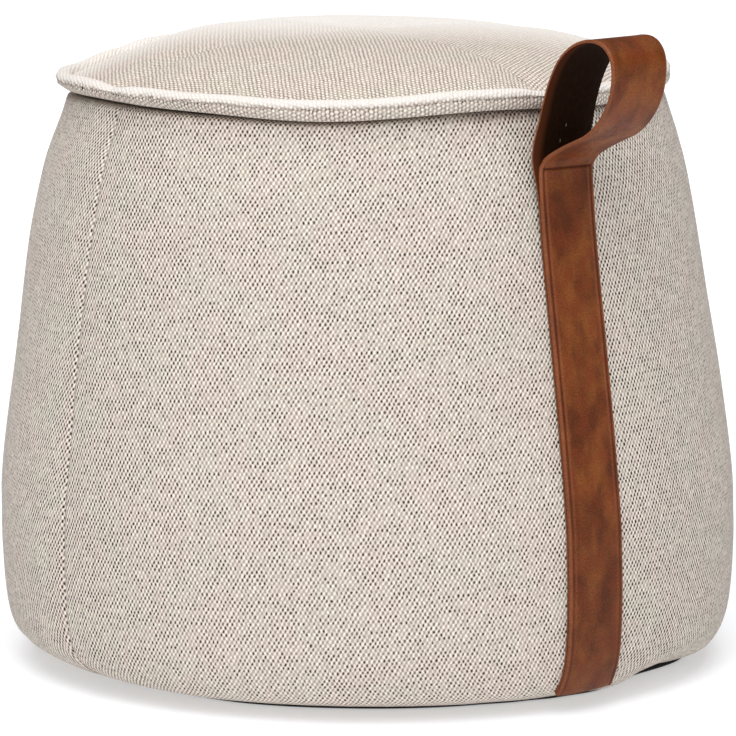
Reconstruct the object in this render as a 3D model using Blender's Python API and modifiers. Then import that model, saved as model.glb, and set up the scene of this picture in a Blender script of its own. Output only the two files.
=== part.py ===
"""Round upholstered pouf with a leather strap handle.

The filled body is four side panels and a crown of four top panels, seamed at every quarter turn. The top
panels roll over the edge, and a narrow facing strip is sewn under the roll. A leather band runs up one side,
forms an open carrying loop that stands above the top, and comes back down over itself. A dark cloth closes
the flat underside.

Origin: the centre of the underside, on the floor. +Z is up, and the strap lies on the -Y side.
"""
import math

import bmesh
import bpy
from mathutils import Matrix, Vector

COLLECTION_NAME = "round_pouf"

# Driving dimensions, in metres
WIDEST_RADIUS = 0.230
SEAM_GAP = 0.0003
BASE_RADIUS = 0.176
BASE_THICKNESS = 0.0025
BASE_EDGE_ROUNDING = 0.0006
SIDE_TOP_HEIGHT = 0.3615

# Outline of the side panels: each row's height, and how far the cloth is drawn in from the widest radius
SIDE_SECTIONS = (
    # height, drawn in
    (BASE_THICKNESS + SEAM_GAP, 0.0480),
    (0.0060, 0.0375),
    (0.0120, 0.0229),
    (0.0200, 0.0130),
    (0.0320, 0.0048),
    (0.0500, 0.0012),
    (0.0750, 0.0000),
    (0.0950, 0.0003),
    (0.1200, 0.0014),
    (0.1450, 0.0040),
    (0.1700, 0.0073),
    (0.1950, 0.0108),
    (0.2200, 0.0144),
    (0.2450, 0.0180),
    (0.2700, 0.0218),
    (0.2900, 0.0252),
    (0.3100, 0.0295),
    (0.3280, 0.0352),
    (0.3450, 0.0420),
    (SIDE_TOP_HEIGHT, 0.0487),
)

# Crown: a flattened dome inside the rolled rim
CROWN_RIM_HEIGHT = 0.3685
CROWN_RISE = 0.0270
CROWN_RADIUS = 0.1840
CROWN_FLATNESS = 3.7
CROWN_STEPS = 8
GROOVE_RADIUS = 0.1805

# Rolled rim of the top panels, and the facing strip under it
ROLL_RADIUS = 0.0051
ROLL_CENTRE_RADIUS = 0.1859
ROLL_CENTRE_HEIGHT = 0.3697
ROLL_START_ANGLE = math.radians(-8)
ROLL_END_ANGLE = math.radians(165)
ROLL_STEPS = 7
FACING_TOP_HEIGHT = 0.3685
FACING_INNER_RADIUS = 0.1785
FACING_MIDDLE_RADIUS = 0.1902
FACING_TOP_RADIUS = 0.1892
FACING_BOTTOM_RADIUS = 0.1868

# The stuffed cover isn't quite even: it leans, its seams draw it in, and its rim waves
LEAN = 0.0036
LEAN_DIRECTION = math.radians(144)
SEAM_PULL = 0.0012
SEAM_SINK = 0.0008
SEAM_HALF_WIDTH = 0.014
RIM_WAVE = (
    # turn from the strap towards -X in degrees, rise
    (11, 0.0033),
    (46, -0.0018),
    (68, -0.0004),
    (90, -0.0008),
    (126, -0.0015),
    (180, 0.0006),
    (235, -0.0007),
    (306, 0.0015),
    (347, 0.0006),
)
RIM_WAVE_START_HEIGHT = 0.270
RIM_WAVE_START_RADIUS = 0.090
RIM_WAVE_FULL_RADIUS = 0.170

# Leather strap: one band in two plies
STRAP_WIDTH = 0.039
PLY_THICKNESS = 0.0020
STRAP_END_HEIGHT = 0.0150
STRAP_LEAVES_BODY_HEIGHT = 0.285
STRAP_IS_FLAT_HEIGHT = 0.333
STRAP_STRIPS = 4

# Middle of the band's thickness from where it leaves the body, over the loop, and back to the same height
LOOP_SECTIONS = (
    # outward from the axis, height
    (0.2043, 0.3110),
    (0.2028, 0.3280),
    (0.2024, 0.3400),
    (0.2034, 0.3510),
    (0.2056, 0.3600),
    (0.2090, 0.3710),
    (0.2150, 0.3845),
    (0.2235, 0.3970),
    (0.2340, 0.4055),
    (0.2450, 0.4102),
    (0.2560, 0.4118),
    (0.2650, 0.4105),
    (0.2713, 0.4065),
    (0.2747, 0.4010),
    (0.2757, 0.3940),
    (0.2750, 0.3870),
    (0.2728, 0.3795),
    (0.2676, 0.3705),
    (0.2592, 0.3615),
    (0.2490, 0.3546),
    (0.2350, 0.3489),
    (0.2225, 0.3436),
    (0.2120, 0.3382),
    (0.2066, 0.3335),
    (0.2051, 0.3280),
    (0.2066, 0.3110),
)

QUARTER_TURN = math.radians(90)
QUARTER_STEPS = 16
# Names of the quarters by a full turn from +X: the strap's side is the front
QUARTER_NAMES = ("back_right", "back_left", "front_left", "front_right")

OATMEAL = (0.62, 0.57, 0.50, 1.0)
TAN_LEATHER = (0.17, 0.05, 0.018, 1.0)
BLACK_CLOTH = (0.012, 0.012, 0.012, 1.0)
CREASE_ANGLE = math.radians(40)
WELD_DISTANCE = 1e-6


def clear_scene():
    for scene_object in list(bpy.data.objects):
        bpy.data.objects.remove(scene_object, do_unlink=True)


def make_material(name, colour, roughness):
    material = bpy.data.materials.new(name)
    material.use_nodes = True
    shader = material.node_tree.nodes["Principled BSDF"]
    shader.inputs["Base Color"].default_value = colour
    shader.inputs["Roughness"].default_value = roughness
    shader.inputs["Metallic"].default_value = 0.0
    material.diffuse_color = colour
    return material


def add_object(name, shape, material, collection):
    """Turn a bmesh into a named object of the collection, shaded smooth but for its sharp edges."""
    mesh = bpy.data.meshes.new(name)
    shape.to_mesh(mesh)
    shape.free()
    mesh.shade_smooth()
    mesh.set_sharp_from_angle(angle=CREASE_ANGLE)
    mesh.materials.append(material)
    new_object = bpy.data.objects.new(name, mesh)
    collection.objects.link(new_object)
    return new_object


def smooth_step(value, start, end):
    """0 before the start, 1 after the end, and an even S between them."""
    share = min(max((value - start) / (end - start), 0), 1)
    return share * share * (3 - 2 * share)


def smooth_curve(points, steps):
    """Points of a smooth curve through the given ones, with this many steps between each two of them."""
    padded = [2 * points[0] - points[1], *points, 2 * points[-1] - points[-2]]
    curve = []
    for before, start, end, after in zip(padded, padded[1:], padded[2:], padded[3:]):
        start_slope = (end - before) / 2
        end_slope = (after - start) / 2
        for step in range(steps):
            t = step / steps
            point = start * (2 * t**3 - 3 * t**2 + 1) + end * (3 * t**2 - 2 * t**3)
            point += start_slope * (t**3 - 2 * t**2 + t) + end_slope * (t**3 - t**2)
            curve.append(point)
    curve.append(points[-1].copy())
    return curve


def rim_rise(x, y):
    """How far the waving rim lies above its even height on this side of the axis."""
    turn = math.degrees(math.atan2(-x, -y)) % 360
    last_turn, last_rise = RIM_WAVE[-1]
    start, start_rise = last_turn - 360, last_rise
    for end, end_rise in (*RIM_WAVE, (RIM_WAVE[0][0] + 360, RIM_WAVE[0][1])):
        if turn <= end:
            return start_rise + smooth_step(turn, start, end) * (end_rise - start_rise)
        start, start_rise = end, end_rise
    return last_rise


def lean(point):
    """Where the lean of the stuffed cover takes a point."""
    shift = LEAN * point.z / SIDE_TOP_HEIGHT
    return point + Vector((shift * math.cos(LEAN_DIRECTION), shift * math.sin(LEAN_DIRECTION), 0))


def stuffed(point):
    """Where a point of the evenly cut cover lies once the cover is sewn and filled."""
    radius = math.hypot(point.x, point.y)
    turn = math.atan2(point.y, point.x)
    off_seam = turn - QUARTER_TURN * round(turn / QUARTER_TURN)
    near_seam = math.exp(-((radius * off_seam / SEAM_HALF_WIDTH) ** 2))
    outer = smooth_step(radius, RIM_WAVE_START_RADIUS, RIM_WAVE_FULL_RADIUS)
    upper = smooth_step(point.z, RIM_WAVE_START_HEIGHT, SIDE_TOP_HEIGHT)
    on_crown = smooth_step(point.z, CROWN_RIM_HEIGHT, CROWN_RIM_HEIGHT + ROLL_RADIUS)
    moved = point.copy()
    if radius > 0:
        moved.xy *= 1 - SEAM_PULL * near_seam * outer / radius
    moved.z += rim_rise(point.x, point.y) * outer * upper - SEAM_SINK * near_seam * on_crown
    return lean(moved)


def side_radius(height):
    """Radius of the side panels at a height, along straight lines between their sections."""
    for (low, low_drawn_in), (high, high_drawn_in) in zip(SIDE_SECTIONS, SIDE_SECTIONS[1:]):
        if height <= high:
            share = (height - low) / (high - low)
            return WIDEST_RADIUS - low_drawn_in - share * (high_drawn_in - low_drawn_in)
    return WIDEST_RADIUS - SIDE_SECTIONS[-1][1]


def side_outline():
    """Outline of the side, from the axis at the bottom to the axis at the top, as (radius, height)."""
    outline = [(0, SIDE_SECTIONS[0][0])]
    outline += [(WIDEST_RADIUS - drawn_in, height) for height, drawn_in in SIDE_SECTIONS]
    outline.append((0, SIDE_TOP_HEIGHT))
    return outline


def crown_height(radius):
    return CROWN_RIM_HEIGHT + CROWN_RISE * (1 - (radius / CROWN_RADIUS) ** CROWN_FLATNESS)


def crown_outline():
    """Outline of the crown with its rolled rim, from the axis at the bottom to the axis at the top."""
    bottom = SIDE_TOP_HEIGHT + SEAM_GAP
    ledge = FACING_TOP_HEIGHT + SEAM_GAP
    ledge_radius = FACING_INNER_RADIUS - 2 * SEAM_GAP
    outline = [(0, bottom), (ledge_radius, bottom), (ledge_radius, ledge)]
    for step in range(ROLL_STEPS + 1):
        angle = ROLL_START_ANGLE + (ROLL_END_ANGLE - ROLL_START_ANGLE) * step / ROLL_STEPS
        height = ROLL_CENTRE_HEIGHT + ROLL_RADIUS * math.sin(angle)
        outline.append((ROLL_CENTRE_RADIUS + ROLL_RADIUS * math.cos(angle), max(height, ledge)))
    for step in range(CROWN_STEPS, -1, -1):
        # Steps get shorter towards the groove, where the dome bends most
        radius = GROOVE_RADIUS * math.sin(QUARTER_TURN * step / CROWN_STEPS)
        outline.append((radius, crown_height(radius)))
    return outline


def facing_outline():
    """Closed section of the facing strip: its outer side leans out from the body to the edge of the roll."""
    bottom = SIDE_TOP_HEIGHT + SEAM_GAP
    return [
        (FACING_INNER_RADIUS, bottom),
        (FACING_BOTTOM_RADIUS, bottom),
        (FACING_MIDDLE_RADIUS, (bottom + FACING_TOP_HEIGHT) / 2),
        (FACING_TOP_RADIUS, FACING_TOP_HEIGHT),
        (FACING_INNER_RADIUS, FACING_TOP_HEIGHT),
    ]


def turned_quarter(outline):
    """Quarter solid swept by turning a closed outline about the Z axis, with its flat ends kept."""
    shape = bmesh.new()
    corners = [shape.verts.new((radius, 0, height)) for radius, height in outline]
    section = shape.faces.new(corners)
    bmesh.ops.spin(shape, geom=[section, *section.edges, *section.verts], cent=(0, 0, 0), axis=(0, 0, 1),
                   angle=QUARTER_TURN, steps=QUARTER_STEPS)
    bmesh.ops.remove_doubles(shape, verts=shape.verts, dist=WELD_DISTANCE)
    bmesh.ops.dissolve_degenerate(shape, edges=shape.edges, dist=WELD_DISTANCE)
    bmesh.ops.recalc_face_normals(shape, faces=shape.faces)
    return shape


def turned_ring(outline):
    """Ring swept by a full turn of a closed outline about the Z axis."""
    shape = bmesh.new()
    corners = [shape.verts.new((radius, 0, height)) for radius, height in outline]
    for corner, following in zip(corners, corners[1:] + corners[:1]):
        shape.edges.new((corner, following))
    bmesh.ops.spin(shape, geom=[*shape.edges, *shape.verts], cent=(0, 0, 0), axis=(0, 0, 1),
                   angle=4 * QUARTER_TURN, steps=4 * QUARTER_STEPS, use_merge=True)
    bmesh.ops.recalc_face_normals(shape, faces=shape.faces)
    return shape


def fill_cover(shape):
    """Move every corner of an evenly built cloth solid to where it lies on the stuffed pouf."""
    for vert in shape.verts:
        vert.co = stuffed(vert.co)


def add_quarters(prefix, outline, material, collection):
    """Four quarter solids round the axis, each drawn back from its neighbours by half the seam gap."""
    for number, name in enumerate(QUARTER_NAMES):
        shape = turned_quarter(outline)
        bmesh.ops.translate(shape, verts=shape.verts, vec=(SEAM_GAP / 2, SEAM_GAP / 2, 0))
        turn = Matrix.Rotation(number * QUARTER_TURN, 3, "Z")
        bmesh.ops.rotate(shape, verts=shape.verts, cent=(0, 0, 0), matrix=turn)
        fill_cover(shape)
        add_object(f"{prefix}_{name}", shape, material, collection)


def add_facing(material, collection):
    shape = turned_ring(facing_outline())
    fill_cover(shape)
    add_object("rim_facing", shape, material, collection)


def add_base(material, collection):
    shape = bmesh.new()
    bmesh.ops.create_cone(shape, cap_ends=True, segments=4 * QUARTER_STEPS, radius1=BASE_RADIUS,
                          radius2=BASE_RADIUS, depth=BASE_THICKNESS)
    bmesh.ops.translate(shape, verts=shape.verts, vec=(0, 0, BASE_THICKNESS / 2))
    base = add_object("base_cloth", shape, material, collection)
    rounding = base.modifiers.new("edge_rounding", "BEVEL")
    rounding.width = BASE_EDGE_ROUNDING
    rounding.segments = 1
    rounding.limit_method = "ANGLE"


def ply_along_body(stand_off):
    """Middle of one ply up the side, as (outward, height), this far out at right angles to the cloth."""
    heights = [STRAP_END_HEIGHT]
    heights += [height for height, _ in SIDE_SECTIONS if STRAP_END_HEIGHT < height < STRAP_LEAVES_BODY_HEIGHT]
    reach = SEAM_GAP
    path = []
    for height in heights:
        slope = (side_radius(height + reach) - side_radius(height - reach)) / (2 * reach)
        path.append(Vector((side_radius(height), height)) + stand_off * Vector((1, -slope)).normalized())
    return path


def strap_path():
    """Middle of the whole band: up the side, round the loop and down again over the first ply."""
    under_ply = ply_along_body(SEAM_GAP + PLY_THICKNESS / 2)
    over_ply = ply_along_body(2 * SEAM_GAP + 1.5 * PLY_THICKNESS)
    loop = [Vector(point) for point in LOOP_SECTIONS]
    return smooth_curve(under_ply + loop + over_ply[::-1], 2)


def add_strap(material, collection):
    """The band as a sheet swept across its width, wrapped round the body, and given its thickness."""
    shape = bmesh.new()
    row = [shape.verts.new((-STRAP_WIDTH / 2, -outward, height)) for outward, height in strap_path()]
    edges = [shape.edges.new(pair) for pair in zip(row, row[1:])]
    for _ in range(STRAP_STRIPS):
        swept = bmesh.ops.extrude_edge_only(shape, edges=edges)["geom"]
        row = [part for part in swept if isinstance(part, bmesh.types.BMVert)]
        swept_edges = [part for part in swept if isinstance(part, bmesh.types.BMEdge)]
        edges = [edge for edge in swept_edges if set(edge.verts).issubset(row)]
        bmesh.ops.translate(shape, verts=row, vec=(STRAP_WIDTH / STRAP_STRIPS, 0, 0))
    for vert in shape.verts:
        outward = -vert.co.y
        wrap = outward - math.sqrt(outward**2 - vert.co.x**2)
        flat = smooth_step(vert.co.z, STRAP_LEAVES_BODY_HEIGHT, STRAP_IS_FLAT_HEIGHT)
        vert.co.y += wrap * (1 - flat)
        vert.co = lean(vert.co)
    bmesh.ops.recalc_face_normals(shape, faces=shape.faces)
    strap = add_object("strap", shape, material, collection)
    thickness = strap.modifiers.new("ply_thickness", "SOLIDIFY")
    thickness.thickness = PLY_THICKNESS
    thickness.offset = 0.0
    thickness.use_even_offset = True


def main():
    clear_scene()
    collection = bpy.data.collections.new(COLLECTION_NAME)
    bpy.context.scene.collection.children.link(collection)
    oatmeal = make_material("oatmeal_weave", OATMEAL, 0.9)
    leather = make_material("tan_leather", TAN_LEATHER, 0.5)
    black = make_material("black_base_cloth", BLACK_CLOTH, 0.9)
    add_base(black, collection)
    add_quarters("side_panel", side_outline(), oatmeal, collection)
    add_facing(oatmeal, collection)
    add_quarters("top_panel", crown_outline(), oatmeal, collection)
    add_strap(leather, collection)


main()
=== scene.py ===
"""Looks of a round upholstered pouf: woven cover, rolled rim, leather strap with its loop, and studio.

Everything is in metres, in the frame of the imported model: the origin is the centre of the underside, +Z is
up, and the strap lies on the -Y side. The cloth's pattern follows each piece's own UV map, in metres of
flat cloth. Turns of the unevenness are in degrees from the strap, and towards -X where nothing else is said.
"""
import math
from bisect import bisect_right

import bmesh
import bpy
from bpy.props import FloatProperty, FloatVectorProperty, PointerProperty
from mathutils import Matrix, Vector, noise
from mathutils.kdtree import KDTree


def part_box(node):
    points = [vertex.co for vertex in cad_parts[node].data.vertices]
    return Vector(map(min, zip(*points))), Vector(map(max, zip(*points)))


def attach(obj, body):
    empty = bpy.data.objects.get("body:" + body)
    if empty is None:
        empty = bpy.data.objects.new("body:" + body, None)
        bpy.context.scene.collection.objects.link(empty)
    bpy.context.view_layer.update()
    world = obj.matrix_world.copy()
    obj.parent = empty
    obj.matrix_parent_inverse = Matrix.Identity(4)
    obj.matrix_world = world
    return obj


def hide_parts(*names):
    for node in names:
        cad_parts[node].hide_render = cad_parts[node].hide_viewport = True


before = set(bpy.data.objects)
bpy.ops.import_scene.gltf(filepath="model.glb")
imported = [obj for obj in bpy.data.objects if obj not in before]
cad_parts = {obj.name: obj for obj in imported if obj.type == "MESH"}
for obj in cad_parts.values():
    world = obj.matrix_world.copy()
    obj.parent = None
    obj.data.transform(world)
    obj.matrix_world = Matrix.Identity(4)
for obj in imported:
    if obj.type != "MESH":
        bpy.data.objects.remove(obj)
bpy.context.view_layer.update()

bl_info = {
    "name": "Round pouf with strap handle",
    "version": (1, 0, 0),
    "blender": (4, 5, 0),
    "location": "View3D > Sidebar > Pouf",
    "description": "Adds the cover, leather strap, stitching and studio of a round upholstered pouf",
    "category": "Add Mesh",
}

ROOT_BODY = "root"
UV_NAME = "flat_cloth"
QUARTER_TURN = math.radians(90)
CREASE_ANGLE = math.radians(50)
WELD_DISTANCE = 1e-6
# Attribute of how open the weave is, which also carries painted shade, painted shadow, painted sheen and
# painted highlight
OPENNESS_AND_PAINTED_LIGHT = "weave_openness_and_painted_light"

# The quarters of the cover, in turn from +X, and how far each one's cloth was cut off the straight grain.
# A side panel's turn is from the level, a top panel's from the way the view looks.
QUARTERS = (
    # name, side cloth's turn, top cloth's turn
    ("back_right", math.radians(-1.5), math.radians(12)),
    ("back_left", math.radians(0.5), math.radians(-1)),
    ("front_left", math.radians(3.3), math.radians(-4)),
    ("front_right", math.radians(-0.3), math.radians(20)),
)

BASE_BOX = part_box("base_cloth")
BASE_RADIUS = BASE_BOX[1].x
BASE_TOP = BASE_BOX[1].z
BASE_EDGE_WIDTH = 0.004
SEAM_GAP = 0.0003

# Outline of the side: each row's height, and how far it is drawn in from the widest radius
SIDE_SECTIONS = (
    # height, drawn in
    (BASE_TOP + SEAM_GAP, 0.0480),
    (0.0060, 0.0325),
    (0.0120, 0.0168),
    (0.0200, 0.0090),
    (0.0320, 0.0038),
    (0.0500, 0.0011),
    (0.0750, 0.0000),
    (0.0950, 0.0003),
    (0.1200, 0.0014),
    (0.1700, 0.0073),
    (0.2200, 0.0144),
    (0.2700, 0.0218),
    (0.3100, 0.0295),
    (0.3280, 0.0347),
    (0.3450, 0.0412),
    (0.3560, 0.0449),
    (0.3585, 0.0460),
    (0.3598, 0.0480),
    (0.3606, 0.0515),
)
SIDE_TOP_HEIGHT = 0.3615
SIDE_ROWS_PER_SECTION = 6
SIDE_COLUMNS = 128
SIDE_CROWDING = 0.62

# Crown and its rolled rim
CROWN_RIM_HEIGHT = 0.3685
CROWN_RISE = 0.0270
CROWN_RADIUS = 0.1840
CROWN_FLATNESS = 3.7
CROWN_ROWS = 44
GROOVE_RADIUS = 0.1805
ROLL_RADIUS = 0.0051
ROLL_CENTRE_RADIUS = 0.1859
ROLL_CENTRE_HEIGHT = 0.3697
ROLL_START_ANGLE = math.radians(8)
ROLL_END_ANGLE = math.radians(165)
ROLL_ROWS = 18
TOP_COLUMNS = 264
TOP_CROWDING = 0.5
# Unevenness of the top cloth, on the rim and on the crown
TOP_SWELL = 0.0006
RIM_SWELLS_PER_METRE = 38.0
CROWN_SWELLS_PER_METRE = 24.0
CROWN_SWELL_HEIGHTS = (0.366, 0.371)
NEAR_RIM_RADII = (0.176, 0.184)
# How much of a seam's depth shows on the rim and on the crown, and how far from the axis it fades in
RIM_SEAM_SHARE = 0.5
CROWN_SEAM_SHARE = 0.15
CROWN_MIDDLE_RADIUS = 0.02

# Facing strip under the roll: its outer side from the gap above the body up into the seam under the roll
FACING_INNER_RADIUS = 0.1785
FACING_SECTION = (
    # outward from the axis, height
    (0.1868, 0.3618),
    (0.1883, 0.3620),
    (0.1894, 0.3627),
    (0.1902, 0.3638),
    (0.1907, 0.3651),
    (0.1909, 0.3664),
    (0.1908, 0.3676),
    (0.1905, 0.3686),
    (0.1900, 0.3693),
    (0.1888, 0.3696),
)
FACING_STEPS = 2
FACING_COLUMNS = 1280
FACING_STRETCH = 1.15
FACING_SLANT = 0.04
FACING_SWELL = 0.0005
FACING_SWELLS_PER_METRE = 60.0
RIM_SEAM_HEIGHT = 0.3691
ROLL_UNDERSIDE = (
    # outward from the axis, height
    (0.1888, 0.3692),
    (0.1898, 0.3690),
    (0.1905, 0.3693),
    (0.1909, 0.3698),
)
# On the pouf's left the facing is tucked further under the roll, between these turns
FACING_TUCK_START = (35, 92)
FACING_TUCK_END = (185, 250)
TUCK_IN = 0.0045
TUCK_UP = 0.0014

# The stuffed cover isn't quite even: it leans, its seams draw it in, and its rim waves
LEAN = 0.0036
LEAN_DIRECTION = math.radians(144)
SEAM_PULL = 0.0012
SEAM_SINK = 0.0008
ROLL_SINK = 0.0018
SEAM_HALF_WIDTH = 0.014
SEAM_SINK_RADII = (0.166, 0.182)
RIM_WAVE = (
    # turn, rise
    (11, 0.0033),
    (46, -0.0018),
    (68, -0.0004),
    (96, -0.0006),
    (126, -0.0046),
    (144, -0.0066),
    (158, -0.0030),
    (168, 0.0010),
    (180, 0.0026),
    (200, 0.0010),
    (235, -0.0007),
    (306, 0.0015),
    (347, 0.0006),
)
# How far the hem and the base cloth lie out of their even circle
HEM_WAVE = (
    # turn, outward
    (4, -0.0030),
    (14, -0.0065),
    (40, -0.0085),
    (72, -0.0058),
    (105, 0.0),
    (240, 0.0),
    (335, 0.0),
    (347, 0.0042),
    (356, 0.0010),
)
HEM_WAVE_TOP = 0.016
# Turns over which the hem is tucked under: on the left, and towards +X on the right and beside the strap
LEFT_TUCK_START = (62, 92)
RIGHT_TUCK_START = (110, 150)
STRAP_TUCK_START = (8, 19)
STRAP_TUCK_END = (26, 36)
STRAP_TUCK_SHARE = 1.8
TUCK_HEIGHT = 0.011
TUCK_HALF_HEIGHT = 0.008
# Where the hem lifts, and the turns towards +X over which the base cloth is pulled out under it
HEM_LIFT_TURN = -29
HEM_LIFT_HALF_WIDTH = 8
HEM_LIFT_FADE = (0.010, 0.036)
BASE_REACH_START = (24, 50)
BASE_REACH_END = (52, 76)
# The base cloth also shows all along the front, either way from this turn
BASE_SHOW_TURN = 20
BASE_SHOW_FADE = (40, 62)
BASE_STILL_RADIUS = 0.1
# Unevenness of the side and its gathers, which all fade out inwards over these radii
SIDE_OUTER_RADII = (0.150, 0.180)
SIDE_SWELLS_PER_METRE = 11.0
SIDE_GATHER_DEPTH = 0.0005
SIDE_GATHER_WIDTH = 0.009
UPPER_GATHER_START = 0.335
LOWER_GATHER_FADE = (0.006, 0.040)
# The side is held in where the rim meets the strap
RECESS_TURN = 11
RECESS_HALF_WIDTH = 9
RECESS_HEIGHTS = (0.3535, 0.3595)
SHOULDER_FULLNESS = 0.0018
SHOULDER_HEIGHTS = (0.318, 0.352)
SHOULDER_DIRECTION = math.radians(-36)
SHOULDER_HALF_WIDTH = math.radians(45)
RIM_WAVE_START_HEIGHT = 0.270
RIM_WAVE_START_RADIUS = 0.090
RIM_WAVE_FULL_RADIUS = 0.170

# Gathers of the rim's seam: the turns over which they deepen and fade, and each kind's width and layer
GATHERS_DEEPEN = (40, 75)
GATHERS_FADE = (250, 330)
GATHER_HALF_HEIGHT = 0.0028
GATHER_RISE = 0.00060
FINE_GATHERS = (0.0030, 0.0)
COARSE_GATHERS = (0.0085, 0.05)
LONG_WAVES = (0.0140, 0.11)
SHORT_WAVES = (0.0050, 0.17)
PAINTED_SHADE_GATHERS = (0.0042, 0.23)

# Painted shade in the rim's seam, which is stronger and higher on the left
SHADE_LEFT_START = (60, 78)
SHADE_LEFT_END = (118, 132)
SHADE_DROP = 0.0004
SHADE_HALF_HEIGHT = 0.0011
SHADE_LEFT_GROWTH = 0.0006
SHADE_LEFT_SHARE = 1.2
# How much of that painted shade the top and the facing take, and the facing's own weave openness
TOP_SHADE = 1.6
FACING_SHADE = 1.2
FACING_OPENNESS = 1.1

# Painted shade added to the side's weave openness, above the 1.0 of the side's middle: under the rim, on the
# flanks either side of the camera's view, and as the loop's shadow beside the strap
UNDER_RIM_PAINTED_SHADE = 0.3
UNDER_RIM_HEIGHTS = (0.345, 0.360)
FLANK_PAINTED_SHADE = 1.1
FLANK_SINES = (0.42, 0.88)
LOOP_PAINTED_SHADOW = 0.9
LOOP_PAINTED_SHADOW_TURN = 6.5
LOOP_PAINTED_SHADOW_HALF_WIDTH = 3.0
LOOP_PAINTED_SHADOW_HEIGHTS = (0.290, 0.345)
# How open the top's weave is on the crown's front; less at its back as a painted sheen, and on the roll as a
# painted highlight; and more towards the roll's seam as painted shade
CROWN_OPENNESS = 1.10
CROWN_PAINTED_SHEEN = 0.85
CROWN_PAINTED_SHEEN_PLACES = (-0.13, 0.07)
ROLL_HIGHLIGHT_OPENNESS = 0.42
ROLL_SEAM_PAINTED_SHADE = 0.45
ROLL_SEAM_HEIGHTS = (0.3690, 0.3725)
ROLL_RADII = (0.176, 0.183)

# Leather band: the middle of its thickness on the loop
LOOP_SECTIONS = (
    # outward from the axis, height
    (0.2043, 0.3110),
    (0.2028, 0.3280),
    (0.2024, 0.3400),
    (0.2034, 0.3510),
    (0.2056, 0.3600),
    (0.2090, 0.3710),
    (0.2150, 0.3845),
    (0.2235, 0.3970),
    (0.2340, 0.4055),
    (0.2450, 0.4102),
    (0.2560, 0.4118),
    (0.2650, 0.4105),
    (0.2713, 0.4065),
    (0.2747, 0.4010),
    (0.2757, 0.3940),
    (0.2750, 0.3870),
    (0.2728, 0.3795),
    (0.2676, 0.3705),
    (0.2592, 0.3615),
    (0.2490, 0.3546),
    (0.2350, 0.3489),
    (0.2225, 0.3436),
    (0.2120, 0.3382),
    (0.2066, 0.3335),
    (0.2049, 0.3280),
    (0.2064, 0.3110),
)
STRAP_WIDTH = 0.040
STRAP_SHIFT = 0.0012
PLY_THICKNESS = 0.0020
PLY_GAP = 0.0001
STRAP_END_HEIGHT = 0.0148
STRAP_END_SLANT = 0.0036
SLANT_FADE = 0.06
CROSS_STITCH_HEIGHT = 0.3305
CREASE_FADE = 0.005
CROSS_HALF_WIDTH = 0.0006
FOLD_RISE = 0.0034
FOLD_HALF_HEIGHT = 0.0020
FLARE_HEIGHT = 0.3375
FLARE_HALF_HEIGHT = 0.016
# The bend of the loop that stands fuller on the band's +X edge, as (outward, height)
FULL_BEND = (0.2690, 0.4090)
FULL_BEND_REACH = 0.015
STRAP_LEAVES_BODY_HEIGHT = 0.285
STRAP_IS_FLAT_HEIGHT = 0.333

# Stitches, as (length, width)
SEAM_STITCH = (0.0026, 0.0008)
SEAM_STITCHES_START = 0.014
SEAM_STITCHES_END = 0.006
CREASE_STITCH = (0.0024, 0.0008)
CREASE_STITCH_SPACING = 0.0031
CREASE_STITCHES_EACH_WAY = 5
LOOP_STITCH = (0.0024, 0.0005)
LOOP_STITCHES = (
    # height, across from the band's middle
    (0.3460, -0.0030),
    (0.3562, -0.0001),
)

# Studio
FLOOR_COLOUR = (0.630, 0.645, 0.675)
FLOOR_GLOW = 0.43
WORLD_STRENGTH = 0.17
LIGHTS = (
    # name, azimuth, elevation, strength, angle
    ("key_light", -38, 40, 1.39, 40),
    ("top_light", -50, 78, 2.42, 60),
)

# Camera, from the photo's perspective
CAMERA_AZIMUTH = math.radians(-35.9)
CAMERA_DISTANCE = 4.001
CAMERA_HEIGHT = 0.8406
CAMERA_PITCH = math.radians(9.3567)
CAMERA_YAW = math.radians(0.009)
CAMERA_LENS = 316.2
SENSOR_WIDTH = 36.0


def smooth_step(value, start, end):
    """0 before the start, 1 after the end, and an even S between them."""
    share = min(max((value - start) / (end - start), 0), 1)
    return share * share * (3 - 2 * share)


def bump(value, half_width):
    """A rounded hump: 1 at zero, and almost nothing past twice its half width."""
    return math.exp(-((value / half_width) ** 2))


def smooth_curve(points, steps):
    """Points of a smooth curve through the given ones, with this many steps between each two of them."""
    padded = [2 * points[0] - points[1], *points, 2 * points[-1] - points[-2]]
    curve = []
    for before, start, end, after in zip(padded, padded[1:], padded[2:], padded[3:]):
        start_slope = (end - before) / 2
        end_slope = (after - start) / 2
        for step in range(steps):
            t = step / steps
            point = start * (2 * t**3 - 3 * t**2 + 1) + end * (3 * t**2 - 2 * t**3)
            point += start_slope * (t**3 - 2 * t**2 + t) + end_slope * (t**3 - t**2)
            curve.append(point)
    curve.append(points[-1].copy())
    return curve


def running_lengths(points):
    """Distance along a line of points up to each of them."""
    lengths = [0.0]
    for start, end in zip(points, points[1:]):
        lengths.append(lengths[-1] + (end - start).length)
    return lengths


# Shape of the stuffed cover

def turn_from_strap(x, y):
    """Turn about the axis from the strap towards -X, from 0 to 360."""
    return math.degrees(math.atan2(-x, -y)) % 360


def wave_at(wave, x, y):
    """Value of a wave round the pouf on this side of the axis."""
    turn = turn_from_strap(x, y)
    last_turn, last_value = wave[-1]
    start, start_value = last_turn - 360, last_value
    for end, end_value in (*wave, (wave[0][0] + 360, wave[0][1])):
        if turn <= end:
            return start_value + smooth_step(turn, start, end) * (end_value - start_value)
        start, start_value = end, end_value


def lean(point):
    """Where the lean of the stuffed cover takes a point."""
    shift = LEAN * point.z / SIDE_TOP_HEIGHT
    return point + Vector((shift * math.cos(LEAN_DIRECTION), shift * math.sin(LEAN_DIRECTION), 0))


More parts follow.
